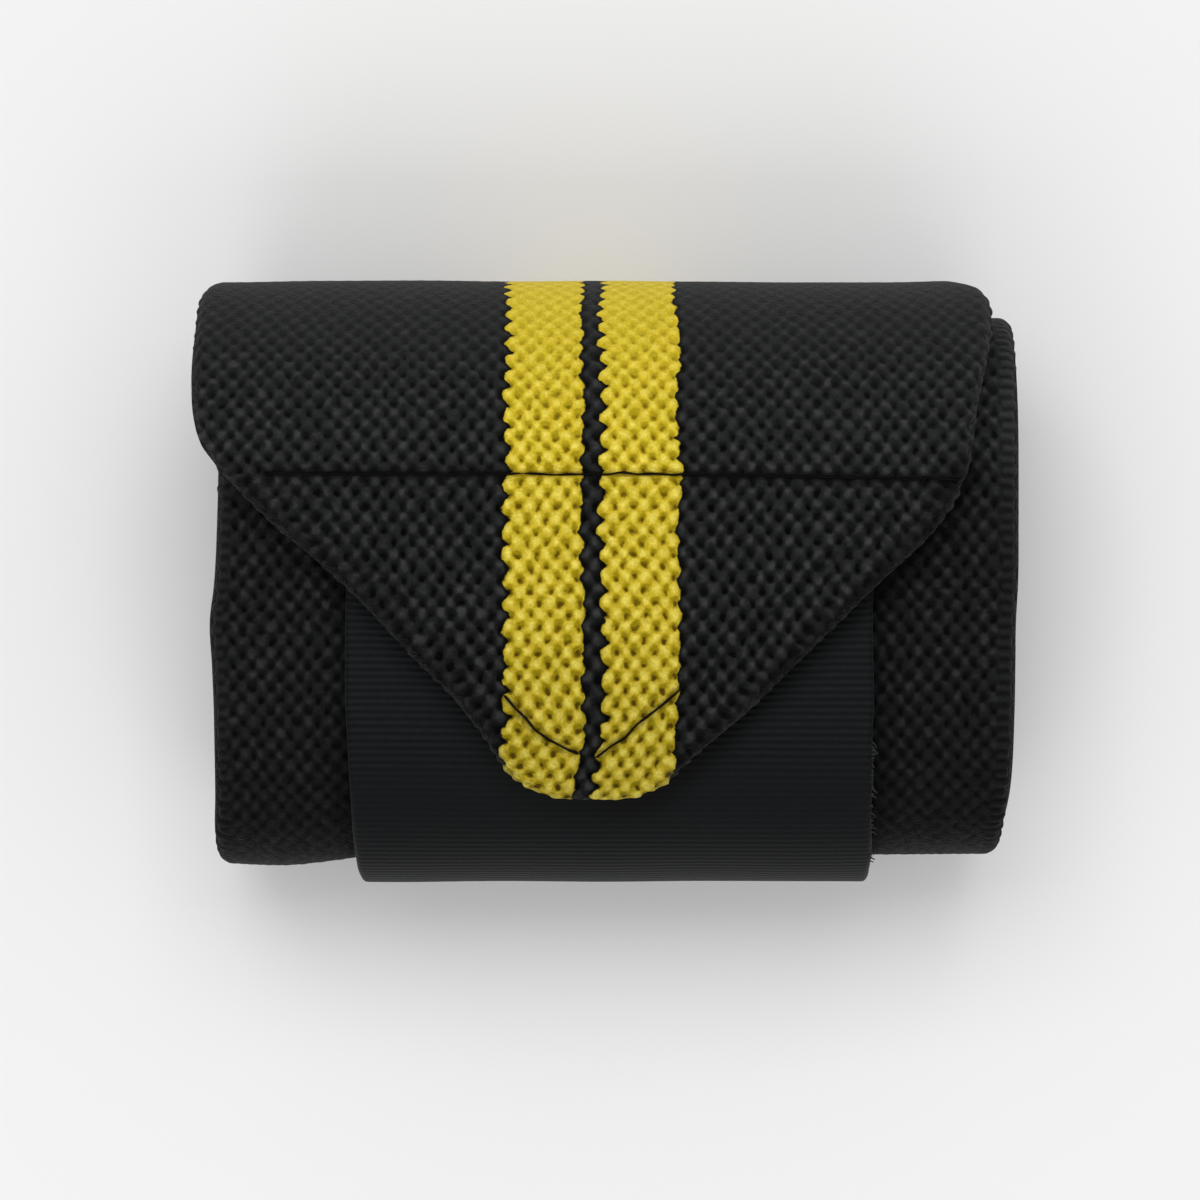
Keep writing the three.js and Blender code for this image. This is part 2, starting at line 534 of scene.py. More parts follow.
def seam_groove(x, along, point_pull):
    """How deep the stitches pull the face in, and the soft swelling beside them."""
    depth = np.zeros(np.shape(x))
    for line, share in ((ROOT_SEAM, 1.0), (POINT_SEAM, point_pull)):
        far, where = distance_to_line(x, along, line)
        pull = 0.85 + 0.15 * np.cos(2 * np.pi * where / STITCH_LENGTH)
        depth -= share * SEAM_DEPTH * pull * bell(far, SEAM_SPREAD)
        depth += share * SEAM_SWELLING * bell(far - SEAM_SWELLS_AT, SEAM_SWELLS_FOR)
    return depth


def point_outline():
    """The point's edge as X and Y, from the left end of its root round the tip to the right end."""
    along, left, right = np.array([row for row in POINT_EDGES if row[0] >= 0]).T
    y = on_roll(0, place_at(along), THICKNESS / 2)[:, 1]
    return [*zip(left, y), *zip(right[::-1], y[::-1])]


def left_to_right(values, x):
    """From the first of two values on the left to the second on the right."""
    left, right = values
    return left + (right - left) * ease_between(x, -LEFT_TO_RIGHT, LEFT_TO_RIGHT)


def lit_beside_point(points, places):
    """The share of painted light that the point's edge leaves on rows of points below it: its painted shadow."""
    far, _ = distance_to_line(points[..., 0], points[..., 1], point_outline())
    near = bell(far, SHADED_BY_POINT_WIDTH) * (places < UNDERSIDE_FROM)[:, None]
    return 1 - near * left_to_right(SHADED_BY_POINT, points[..., 0])


# How many rows there are up to each length from the point's root
ROW_STEP = 0.05
ROW_LENGTHS = np.arange(-700.0, 60.0, ROW_STEP)
ROW_COUNTS = np.cumsum(ROW_STEP / np.interp(ROW_LENGTHS, *np.array(ROW_PITCH).T))
ROW_COUNTS += ROW_AT_ROOT - np.interp(0.0, ROW_LENGTHS, ROW_COUNTS)


def lattice(x, along, seed):
    """The knit's coordinates at places on the band's face, a little uneven: wales across and rows along."""
    row = np.interp(along + wander(ROW_WANDERS, x, along, seed + 2), ROW_LENGTHS, ROW_COUNTS)
    return (x + wander(WALE_WANDERS, x, along, seed) - FIRST_YELLOW_X) / WALE, row


def stripe_depth(wale, row):
    """How far inside a yellow stripe a place is, in wales; below zero it is black."""
    swing = np.cos(np.pi * row)
    left_out = LEFT_SCALLOP * ((1 + swing) / 2) ** SCALLOP_ROUND
    right_out = RIGHT_SCALLOP * ((1 - swing) / 2) ** SCALLOP_ROUND
    return np.max([np.minimum(wale - left + left_out, right + right_out - wale) for left, right in STRIPES], axis=0)


def knit_height(wale, row):
    """Height from 0 in the holes to 1 on the bumps, which alternate across and along."""
    wave = np.cos(2 * np.pi * wale) * np.cos(np.pi * row)
    height = ((1 + wave) / 2) ** PIT_SHARPNESS
    beside_stripe = bell(stripe_depth(wale, row) + BESIDE_STRIPE, BESIDE_STRIPE_WIDTH)
    return height * (1 - BESIDE_STRIPE_LOW * beside_stripe)


def make_mesh(name, points, faces, attributes):
    """A smooth mesh from points in millimetres and lists of four or three corners a face."""
    mesh = bpy.data.meshes.new(name)
    corners = np.concatenate([part.ravel() for part in faces]).astype(np.int32)
    counts = np.concatenate([np.full(len(part), part.shape[1]) for part in faces])
    mesh.vertices.add(len(points))
    mesh.vertices.foreach_set("co", (points * MM).astype(np.float32).ravel())
    mesh.loops.add(len(corners))
    mesh.loops.foreach_set("vertex_index", corners)
    mesh.polygons.add(len(counts))
    mesh.polygons.foreach_set("loop_start", np.concatenate([[0], np.cumsum(counts)[:-1]]).astype(np.int32))
    mesh.polygons.foreach_set("use_smooth", np.ones(len(counts), bool))
    for key, values in attributes.items():
        layer = mesh.attributes.new(key, "FLOAT", "POINT")
        layer.data.foreach_set("value", np.asarray(values, np.float32).ravel())
    mesh.update(calc_edges=True)
    mesh.validate()
    piece = bpy.data.objects.new(name, mesh)
    bpy.context.scene.collection.objects.link(piece)
    return piece


def rings_to_mesh(name, rings, attributes):
    """A closed body from rings of points, each ring joined to the next, with a fan over each end."""
    rows, count, _ = rings.shape
    index = np.arange(rows * count).reshape(rows, count)
    right = np.roll(index, -1, axis=1)
    sides = np.stack([index[:-1], right[:-1], right[1:], index[1:]], axis=-1).reshape(-1, 4)
    middles = rings[[0, -1]].mean(axis=1)
    first, last = rows * count, rows * count + 1
    start = np.stack([np.full(count, first), right[0], index[0]], axis=-1)
    end = np.stack([np.full(count, last), index[-1], right[-1]], axis=-1)
    points = np.concatenate([rings.reshape(-1, 3), middles])
    padded = {k: np.concatenate([v.ravel(), v[[0, -1]].mean(axis=1)]) for k, v in attributes.items()}
    return make_mesh(name, points, [sides, start, end], padded)


def across(left, right, radius, middle_count, edge_count, reach=1.0):
    """Columns across a strip with rounded edges, one row for each section: x, the way out of the edge, depth."""
    reach = np.minimum(radius * reach, 0.45 * (right - left))[:, None]
    turn = np.linspace(0, np.pi / 2, edge_count + 1)[None]
    flat = np.linspace(0, 1, middle_count + 1)[None, 1:-1]
    left, right = left[:, None], right[:, None]
    inner_left, inner_right = left + reach, right - reach
    x = np.concatenate(
        [inner_left - reach * np.cos(turn), inner_left + (inner_right - inner_left) * flat,
         inner_right + reach * np.cos(turn[:, ::-1])], axis=1)
    ones = np.ones_like(left)
    middle = np.full((1, middle_count - 1), np.pi / 2)
    angle = np.concatenate([turn, middle, np.pi - turn[:, ::-1]], axis=1) * ones
    wrap = radius[:, None] * (np.pi / 2 - np.minimum(angle, np.pi - angle))
    pattern_x = np.where(angle < 1.5, inner_left - wrap, np.where(angle > 1.6, inner_right + wrap, x))
    return x, angle, pattern_x


def fold_share(along):
    """How far the selvedge has turned into a fold, for the rows of the point."""
    return ease_between(along, *FOLD_PATTERN)[:, None]


def selvedge_share(pattern_x, widths):
    """1 on the bound edges and 0 on the face between them."""
    edge_distances = pattern_x - pattern_x[:, :1], pattern_x[:, -1:] - pattern_x
    sides = [1 - ease_between(far, width - SELVEDGE_FADE, width) for far, width in zip(edge_distances, widths)]
    return np.maximum(*sides)


def rim_light(x, left, right, facing, folded, yellow):
    """The share of painted light on the band's edges and on the point's rim: painted shade where they turn away."""
    from_edge = np.minimum(x - left[:, None], right[:, None] - x)
    light = 1 - (EDGE_SHADED - (EDGE_SHADED - FOLDED_EDGE_SHADED) * folded) * (1 - facing)
    return light * (1 - left_to_right(RIM_SHADED, x) * folded * (1 - yellow) * bell(from_edge, RIM_WIDTH))


def band_rings(places, left, right, radius, middle, columns, edge_columns, seed, relief, strength, shade,
               folds=False, selvedge_widths=SELVEDGE_WIDTHS):
    """Rings of the knitted band: a full outer face, rounded edges and a plain inner face."""
    along = length_at(places)
    folded = fold_share(along) if folds else np.zeros((len(along), 1))
    slant = 1 + FOLD_SLANT * folded[:, 0]
    x, angle, pattern_x = across(left, right, radius, columns, edge_columns, slant)
    along_all = np.broadcast_to(along[:, None], x.shape)
    drawn_in = 1 + STRIPE_DRAWN_IN * (1 - ease_between(along_all, *STRIPES_WIDE_AT))
    leans = TIP_LEANS * ease_between(along_all, *TIP_LEANS_FROM)
    wale, row = lattice(STRIPES_MIDDLE + (pattern_x - STRIPES_MIDDLE) * drawn_in + leans, along_all, seed)
    height = knit_height(wale, row)
    selvedge = selvedge_share(pattern_x, selvedge_widths) * (1 - folded)
    bars = 0.5 + 0.5 * np.cos(2 * np.pi * row * BARS_PER_ROW)
    facing = np.sin(angle)
    bar_rise = BAR_RISE * bars * (BAR_RISE_ON_SIDE + (1 - BAR_RISE_ON_SIDE) * facing)
    height = height * (1 - selvedge) + (BAR_LOW + bar_rise) * selvedge
    yellow = ease_between(stripe_depth(wale, row), -STRIPE_EDGE, STRIPE_EDGE)
    seam = np.zeros(x.shape)
    if folds:
        at_root, at_point = (distance_to_line(pattern_x, along_all, line)[0] for line in (ROOT_SEAM, POINT_SEAM))
        pull = POINT_SEAM_PULL_ON_BLACK + (1 - POINT_SEAM_PULL_ON_BLACK) * yellow
        shows = POINT_SEAM_ON_BLACK + (POINT_SEAM_ON_YELLOW - POINT_SEAM_ON_BLACK) * yellow
        height = height * (1 - bell(at_root, SEAM_SPREAD))
        height = height * (1 - pull * bell(at_point, SEAM_SPREAD))
        # The seams' darker line: partly dark thread, partly painted shade in the groove
        seam = np.maximum(bell(at_root, SEAM_SHADED), shows * bell(at_point, SEAM_SHADED))
    push = relief[:, None] * (height - BUMP_TOP) + wander(FACE_WANDERS, x, along_all, seed + FACE_SEED)
    if folds:
        push = push + seam_groove(pattern_x, along_all, pull)
    scallop = EDGE_SCALLOP * np.cos(np.pi * row) * np.abs(np.cos(angle)) * (1 - folded)
    x_out = x - np.cos(angle) * (push + scallop)
    offset_out = middle[:, None] + np.sin(angle) * (radius[:, None] + push)
    outer = on_roll(x_out, places[:, None], offset_out, True)
    back_x, back_angle, _ = across(left, right, radius, BACK_COLUMNS, edge_columns, slant)
    back_x, back_angle = back_x[:, ::-1], back_angle[:, ::-1]
    # The two faces share the points of both edges.
    back_offset = middle[:, None] - np.sin(back_angle) * radius[:, None]
    back = on_roll(back_x, places[:, None], back_offset, True)[:, 1:-1]
    rings = np.concatenate([outer, back], axis=1)
    back_along = np.broadcast_to(along[:, None], back.shape[:2])
    back_wale, back_row = lattice(back_x[:, 1:-1], back_along, seed)
    plain = np.zeros(back.shape[:2])
    rim = rim_light(x, left, right, facing, folded, yellow)
    # The shade attribute carries painted light and shade into the knit's colour.
    both = {
        "wale": (wale, back_wale),
        "row": (row, back_row),
        "selvedge": (selvedge, plain),
        "strength": (np.broadcast_to(strength[:, None], x.shape), plain + 0.5),
        "seam": (seam, plain),
        "shade": (np.broadcast_to(shade(x), x.shape) * rim, plain + 1.0),
    }
    return rings, {key: np.concatenate(values, axis=1) for key, values in both.items()}


def rows_between(start, end, step):
    """Places between two places, about a step apart along the face."""
    low, high = length_at(start), length_at(end)
    return place_at(np.linspace(low, high, int((high - low) / step) + 1))


def make_outer_turn():
    """From the underside round the far end and over the top to the tip of the point."""
    tip = POINT_EDGES[-1][0]
    fold_radius = (THICKNESS + FOLDED_LAYER) / 2
    body = rows_between(OUTER_TURN_FROM, LIFT_TO, FINE)[:-1]
    point = np.linspace(0, tip - fold_radius, int((tip - fold_radius) / FINE) + 1)
    closing = tip - fold_radius * (1 - np.sin(np.linspace(0, np.pi / 2, TIP_ROWS)[1:]))
    along = np.concatenate([length_at(body), point, closing])
    places = np.concatenate([body, place_at(along[len(body):])])
    left, right = through(POINT_EDGES, 1, along), through(POINT_EDGES, 2, along)
    contrast, relief, shade = (through(OUTER_LOOK, column, along) for column in (1, 2, 3))
    folded = ease_between(along, 0.0, FOLD_STEP)
    past = np.clip((along - (tip - fold_radius)) / fold_radius, 0, 1)
    closed = np.sqrt(np.maximum(TIP_CLOSED, 1 - past**2))
    radius = (PUFFED / 2 + folded * FOLDED_LAYER / 2) * closed
    middle = -folded * FOLDED_LAYER / 2
    relief = BUMP_HEIGHT * relief * np.sqrt(closed)
    rings, attributes = band_rings(
        places, left, right, radius, middle, int(BAND_WIDTH / FINE), OUTER_EDGE_COLUMNS, OUTER_SEED, relief, contrast,
        lambda x: shade[:, None], folds=True, selvedge_widths=OUTER_SELVEDGE_WIDTHS)
    return rings_to_mesh("wrap_outer_turn", rings, attributes)


def make_second_turn():
    """Round the far end, under the point, round the near end and along the underside."""
    parts = [rows_between(*row)[:-1] for row in SECOND_TURN_ROWS]
    places = np.concatenate([*parts, [SECOND_TURN_ROWS[-1][1]]])
    left, right = through(TURN_EDGES, 1, places), through(TURN_EDGES, 2, places)
    contrast, relief, shade = (through(SECOND_LOOK, column, places) for column in (1, 2, 3))
    radius = np.full(len(places), PUFFED / 2)
    middle = np.zeros(len(places))

    def shade_at(x):
        # Painted shade: shadow beside the tape and from the point's edge, and the right side lighter at the far end
        # and darker past it
        beside = np.maximum(TAPE_LEFT - x, x - TAPE_RIGHT)
        rightwards = ease_between(x, 0.0, TAPE_RIGHT)
        further = np.maximum(rightwards, ease_between(places, *SHADED_REACHES_FURTHER)[:, None])
        reach = SHADED_REACH + SHADED_REACH_MORE * further
        shaded = SHADED_BESIDE_TAPE * bell(beside, reach) * (places > SHADED_FROM)[:, None]
        falls = ease_between(places, *RIGHT_SIDE_FALLS)[:, None]
        lit = 1 + rightwards * (RIGHT_SIDE_LIGHTER - (RIGHT_SIDE_LIGHTER + RIGHT_SIDE_DARKER) * falls)
        points = on_roll(x, places[:, None], THICKNESS / 2)
        return shade[:, None] * (1 - shaded) * lit * lit_beside_point(points, places)

    rings, attributes = band_rings(
        places, left, right, radius, middle, int(BAND_WIDTH / SECOND_FINE), SECOND_EDGE_COLUMNS, SECOND_SEED,
        BUMP_HEIGHT * relief, contrast, shade_at)
    return rings_to_mesh("wrap_second_turn", rings, attributes)


def make_inner_turns():
    """The turns that show only their edges, at both ends of the roll."""
    places = rows_between(0.0, SECOND_TURN_ROWS[0][0], COARSE)
    along = length_at(places)
    wanders = [INNER_EDGES_WANDER * drift(along / INNER_EDGES_WANDER_LENGTH, along * 0, seed) for seed in (31, 32)]
    left, right = through(TURN_EDGES, 1, places) + wanders[0], through(TURN_EDGES, 2, places) + wanders[1]
    doubled = CORE_FILLING / 2 * (1 - ease_between(places, *DOUBLED_TO))
    radius = PITCH / 2 + doubled
    middle = -doubled
    relief = np.full(len(places), BUMP_HEIGHT * INNER_RELIEF)
    strength = np.full(len(places), INNER_STRENGTH)
    rings, attributes = band_rings(
        places, left, right, radius, middle, INNER_COLUMNS, INNER_EDGE_COLUMNS, INNER_SEED, relief, strength,
        lambda x: INNER_SHADE)
    return rings_to_mesh("wrap_inner_turns", rings, attributes)


def tape_lengths():
    """Lengths along the tape's own middle line against places, and where the tape starts and ends."""
    y, z = unplaced(PLACES, TAPE_OFFSET)
    lengths = np.concatenate([[0], np.cumsum(np.hypot(np.diff(y), np.diff(z)))])
    start = np.interp(LIFT_TO - 2, PLACES, lengths) + TAPE_SET_BACK
    return lengths, start, start + TAPE_LENGTH


def make_tape():
    """A ribbed strip that comes out from under the point and goes round the near end to the underside."""
    lengths, start, end = tape_lengths()
    along = np.linspace(start, end, int((end - start) / TAPE_STEP) + 1)
    places = np.interp(along, lengths, PLACES)
    half = TAPE_THICKNESS / 2
    from_start = along - start
    narrowed = ease_between(places, *TAPE_NARROWS)
    left = TAPE_LEFT + TAPE_NARROWED_LEFT * narrowed + 0.10 * drift(from_start / 5, from_start * 0, 51)
    right = TAPE_RIGHT + TAPE_NARROWED_RIGHT * narrowed + 0.12 * drift(from_start / 3, from_start * 0, 52)
    radius = np.full(len(places), half)
    x, angle, _ = across(left, right, radius, TAPE_COLUMNS, TAPE_EDGE_COLUMNS)
    along_all = np.broadcast_to(from_start[:, None], x.shape)
    bend = TAPE_RIB_BEND * drift(x / 12, along_all / 9, 53)
    fades = ease_between(places, *RIBS_FADE)[:, None]
    wave = 0.5 * np.cos(2 * np.pi * (along_all + bend) / TAPE_RIB)
    # The ribs' colour is painted shade in the grooves and lighter on the crests
    rib, rib_painted_shade = 0.5 + (1 - RIBS_LOWER * fades) * wave, 0.5 + (1 - RIBS_PALER * fades) * wave
    face = np.sin(angle)
    uneven = TAPE_UNEVEN * (1 - ease_between(places, *TAPE_EVEN_BELOW)[:, None])
    full = TAPE_SWELLING * bell(places - TAPE_SWELLS_AT, TAPE_SWELLS_FOR)[:, None]
    push = (TAPE_RIB_HEIGHT * (rib - 1) + full + uneven * drift(x / 10, along_all / 10, 54)) * face
    outer = on_roll(x - np.cos(angle) * 0.02, places[:, None], TAPE_OFFSET + face * half + push)
    back_x, back_angle, _ = across(left, right, radius, BACK_COLUMNS, TAPE_EDGE_COLUMNS)
    back_x, back_angle = back_x[:, ::-1], back_angle[:, ::-1]
    back = on_roll(back_x, places[:, None], TAPE_OFFSET - np.sin(back_angle) * half)[:, 1:-1]
    rings = np.concatenate([outer, back], axis=1)
    plain = np.zeros(back.shape[:2])
    # Painted light and shade by place, and the point's painted shadow
    shade = through(TAPE_SHADE, 1, places)[:, None] * lit_beside_point(rings, places)
    attributes = {"height": np.concatenate([rib_painted_shade, plain + 0.5], axis=1), "shade": shade}
    return rings_to_mesh("hook_tape_ribbed", rings, attributes)


def tube_rings(line, radius, sides=8):
    """Rings of points round a line of points."""
    tangents = np.gradient(line, axis=0)
    tangents /= np.linalg.norm(tangents, axis=1, keepdims=True)
    up = np.array([0.0, 0.0, 1.0])
    side = np.cross(tangents, up)
    side /= np.maximum(np.linalg.norm(side, axis=1, keepdims=True), 1e-6)
    other = np.cross(side, tangents)
    turn = np.linspace(0, 2 * np.pi, sides, endpoint=False)
    radius = np.broadcast_to(np.asarray(radius, float), (len(line),))[:, None, None]
    return line[:, None] + radius * (
        side[:, None] * np.cos(turn)[None, :, None] + other[:, None] * np.sin(turn)[None, :, None])


def tube(name, line, radius):
    """A closed round thread along a line of points."""
    return rings_to_mesh(name, tube_rings(line, radius), {})


def make_frays():
    """Short loose fibres that stand out of the tape's right edge where it turns down."""
    lengths, start, _ = tape_lengths()
    number = np.arange(FRAYS)
    at = FRAYS_FROM + (FRAYS_TO - FRAYS_FROM) * cell_random(number, 0, 71)
    share = np.linspace(0, 1, 6)
    lines = []
    for i, from_start in zip(number, at):
        reach = FRAY_REACH + FRAY_REACH_MORE * cell_random(i, 1, 72) ** 2
        lean = FRAY_LEAN * (cell_random(i, 2, 73) - 0.3)
        rise = FRAY_RISE * (cell_random(i, 3, 74) - 0.5)
        place = np.interp(start + from_start + lean * share**2, lengths, PLACES)
        x = TAPE_RIGHT - 0.1 + reach * share
        lines.append(on_roll(x, place, TAPE_OFFSET + 0.3 + 0.35 * rise + 0.4 * rise * share**2))
    sides, steps = 5, len(share)
    points, faces, caps = [], [], []
    for i, line in enumerate(lines):
        rings = tube_rings(line, FRAY_RADIUS * (1 - 0.5 * share), sides)
        first = i * sides * steps
        index = first + np.arange(sides * steps).reshape(steps, sides)
        right = np.roll(index, -1, axis=1)
        points.append(rings.reshape(-1, 3))
        faces.append(np.stack([index[:-1], right[:-1], right[1:], index[1:]], axis=-1).reshape(-1, 4))
        for ring in (index[0][::-1], index[-1]):
            caps += [[ring[0], ring[j], ring[j + 1]] for j in range(1, sides - 1)]
    return make_mesh("tape_frays", np.concatenate(points), [np.concatenate(faces), np.array(caps)], {})


def along_line(line, step):
    """Points about a step apart along a chain of corners, with the distance gone at each."""
    corners = np.array(line, float)
    gone = np.concatenate([[0], np.cumsum(np.hypot(*np.diff(corners, axis=0).T))])
    at = np.linspace(0, gone[-1], int(gone[-1] / step) + 1)
    return np.interp(at, gone, corners[:, 0]), np.interp(at, gone, corners[:, 1]), at


def make_seam(name, line):
    """A row of stitches as one thread that rises and dips once a stitch."""
    x, along, gone = along_line(line, SEAM_STEP)
    waver = THREAD_WAVERS * drift(gone / THREAD_WAVER_LENGTH, gone * 0, 61)
    dip = 0.5 - 0.5 * np.cos(2 * np.pi * gone / STITCH_LENGTH)
    offset = PUFFED / 2 - THREAD_DEPTH + THREAD_DIP * dip
    points = on_roll(x, place_at(along + waver), offset)
    return tube(name, points, THREAD_RADIUS * (0.75 + 0.25 * dip))


def material(name, build):
    made = bpy.data.materials.new(name)
    made.use_nodes = True
    nodes, links = made.node_tree.nodes, made.node_tree.links
    shader = nodes["Principled BSDF"]
    build(nodes, links, shader)
    return made


def attribute(nodes, name):
    node = nodes.new("ShaderNodeAttribute")
    node.attribute_name = name
    return node.outputs["Fac"]


def mix_colours(nodes, links, factor, low, high):
    node = nodes.new("ShaderNodeMix")
    node.data_type = "RGBA"
    links.new(factor, node.inputs["Factor"])
    for socket, value in (("A", low), ("B", high)):
        target = next(s for s in node.inputs if s.name == socket and s.type == "RGBA")
        if isinstance(value, tuple):
            target.default_value = (*value, 1.0)
        else:
            links.new(value, target)
    return next(s for s in node.outputs if s.type == "RGBA")


def noise(nodes, links, scale, detail=3.0, output="Fac"):
    place = nodes.new("ShaderNodeTexCoord")
    node = nodes.new("ShaderNodeTexNoise")
    node.inputs["Scale"].default_value = scale
    node.inputs["Detail"].default_value = detail
    links.new(place.outputs["Object"], node.inputs["Vector"])
    return node.outputs[output]


def map_range(nodes, links, value, from_low, from_high, to_low, to_high):
    node = nodes.new("ShaderNodeMapRange")
    for socket, number in zip(("From Min", "From Max", "To Min", "To Max"), (from_low, from_high, to_low, to_high)):
        node.inputs[socket].default_value = number
    links.new(value, node.inputs["Value"])
    return node.outputs["Result"]


def scaled(nodes, links, colour, factor):
    node = nodes.new("ShaderNodeVectorMath")
    node.operation = "SCALE"
    links.new(colour, node.inputs[0])
    links.new(factor, node.inputs["Scale"])
    return node.outputs["Vector"]


def bump(nodes, links, height, strength, distance, shader):
    node = nodes.new("ShaderNodeBump")
    node.inputs["Strength"].default_value = strength
    node.inputs["Distance"].default_value = distance
    links.new(height, node.inputs["Height"])
    links.new(node.outputs["Normal"], shader.inputs["Normal"])


def math_node(nodes, links, operation, *values):
    node = nodes.new("ShaderNodeMath")
    node.operation = operation
    for socket, value in zip(node.inputs, values):
        if isinstance(value, (int, float)):
            socket.default_value = value
        else:
            links.new(value, socket)
    return node.outputs[0]


def set_finish(shader, roughness, specular, sheen):
    shader.inputs["Roughness"].default_value = roughness
    shader.inputs["Specular IOR Level"].default_value = specular
    if sheen:
        shader.inputs["Sheen Weight"].default_value = sheen
        shader.inputs["Sheen Roughness"].default_value = SHEEN_ROUGHNESS


def build_knit(nodes, links, shader):
    def calc(operation, *values):
        return math_node(nodes, links, operation, *values)

    def ranged(value, *limits):
        return map_range(nodes, links, value, *limits)

    def mixed(factor, low, high):
        return mix_colours(nodes, links, factor, low, high)

    yarns = nodes.new("ShaderNodeSeparateXYZ")
    links.new(noise(nodes, links, YARNS, 1.0, "Color"), yarns.inputs[0])
    selvedge, strength = attribute(nodes, "selvedge"), attribute(nodes, "strength")
    seam = attribute(nodes, "seam")
    wale = calc("MULTIPLY_ADD", calc("SUBTRACT", yarns.outputs[0], 0.5), 0.45, attribute(nodes, "wale"))
    row = calc("MULTIPLY_ADD", calc("SUBTRACT", yarns.outputs[1], 0.5), 0.75, attribute(nodes, "row"))
    uneven = calc("SUBTRACT", noise(nodes, links, STRANDS, 2.0), 0.5)
    patchy = noise(nodes, links, PATCHES, 1.0)
    plain = calc("SUBTRACT", 1.0, selvedge)

    # Holes lie between the bumps and are painted dark as shade. Each bump has a painted highlight on its side towards
    # the row before it, where the key light falls, and painted shade on its other side.
    swing = calc("COSINE", calc("MULTIPLY", row, math.pi))
    columns = calc("COSINE", calc("MULTIPLY", wale, 2 * math.pi))
    wave = calc("MULTIPLY_ADD", uneven, 0.8, calc("MULTIPLY", columns, swing))
    lit_side_swing = calc("COSINE", calc("MULTIPLY", calc("ADD", row, 0.25), math.pi))
    lit_side_wave = calc("MULTIPLY_ADD", uneven, 0.9, calc("MULTIPLY", columns, lit_side_swing))
    shown = calc("MULTIPLY", plain, calc("MULTIPLY_ADD", strength, 0.75, 0.25))
    hole_painted_shade = calc("MULTIPLY", ranged(wave, -0.35, -0.85, 0.0, 1.0), ranged(patchy, 0.35, 0.60, 1.0, 0.5))
    hole_painted_shade = calc("MULTIPLY", calc("MULTIPLY", hole_painted_shade, strength), plain)
    small_hole_painted_shade = calc("MULTIPLY", calc("MULTIPLY", ranged(wave, -0.55, -1.0, 0.0, 0.9), strength), plain)
    painted_highlight = calc("MULTIPLY", ranged(lit_side_wave, 0.05, 0.95, 0.0, 1.0), shown)
    # low is painted shade on the side of each bump away from the key light
    low = calc("MULTIPLY", ranged(lit_side_wave, 0.05, -0.65, 0.0, 1.0), shown)
    painted_highlight_specks = calc("MULTIPLY", painted_highlight, ranged(patchy, 0.35, 0.65, 0.20, 1.0))

    # Where the stripes are, with their scalloped edges
    outs = []
    for sign, size in ((0.5, LEFT_SCALLOP), (-0.5, RIGHT_SCALLOP)):
        share = calc("POWER", calc("MULTIPLY_ADD", swing, sign, 0.5), SCALLOP_ROUND)
        outs.append(calc("MULTIPLY", share, size))
    depths = []
    for left, right in STRIPES:
        from_left = calc("ADD", calc("SUBTRACT", wale, left), outs[0])
        from_right = calc("SUBTRACT", calc("ADD", outs[1], right), wale)
        depths.append(calc("MINIMUM", from_left, from_right))
    depth = calc("MULTIPLY_ADD", uneven, 0.12, calc("MAXIMUM", *depths))
    yellow = ranged(depth, -0.035, 0.035, 0.0, 1.0)
    # Painted shadow on the black just beside the stripes
    beside = ranged(depth, -0.32, -0.05, 1.0, 0.25)

    # The two yarns' colours, from the bumps down to the holes, with painted sheen on the black where the contrast is
    # low, and the sunk seams darker, partly for the dark thread and partly as painted shade in their groove
    black = mixed(strength, BLACK_PAINTED_SHEEN, BLACK_KNIT)
    black = mixed(low, black, BLACK_LOWER_SIDE_PAINTED_SHADE)
    black = mixed(painted_highlight_specks, black, BLACK_PAINTED_HIGHLIGHT)
    black = mixed(calc("MAXIMUM", hole_painted_shade, calc("MULTIPLY", seam, 0.85)), black, BLACK_RECESS_PAINTED_SHADE)
    black = scaled(nodes, links, black, beside)
    bright = mixed(low, YELLOW_KNIT, YELLOW_LOWER_SIDE_PAINTED_SHADE)
    bright = mixed(calc("MULTIPLY", painted_highlight, ranged(patchy, 0.35, 0.65, 0.7, 1.0)), bright, YELLOW_PAINTED_HIGHLIGHT)
    line = calc("POWER", seam, 2.5)
    bright = mixed(calc("MAXIMUM", small_hole_painted_shade, calc("MULTIPLY", line, 0.9)), bright, YELLOW_RECESS_PAINTED_SHADE)
    both = mixed(yellow, black, bright)

    # The bars across the bound edges, with painted shade between the bars and the edges a little lighter, the painted
    # light and shade of the shade attribute, and fine fibres everywhere
    bars = calc("COSINE", calc("MULTIPLY", attribute(nodes, "row"), 2 * math.pi * BARS_PER_ROW))
    bars = calc("MULTIPLY_ADD", calc("MULTIPLY", bars, selvedge), 0.55, calc("MULTIPLY_ADD", selvedge, 0.15, 1.0))
    fibres = ranged(noise(nodes, links, FIBRES), *GRAIN_RANGE)
    shade = calc("MULTIPLY", calc("MULTIPLY", bars, attribute(nodes, "shade")), fibres)
    links.new(scaled(nodes, links, both, shade), shader.inputs["Base Color"])
    set_finish(shader, *KNIT_FINISH)
    bumps = calc("MULTIPLY", calc("MULTIPLY", wave, strength), plain)
    relief = calc("MULTIPLY_ADD", bumps, 0.9, noise(nodes, links, FUZZ))
    bump(nodes, links, relief, 0.7, 0.0003, shader)


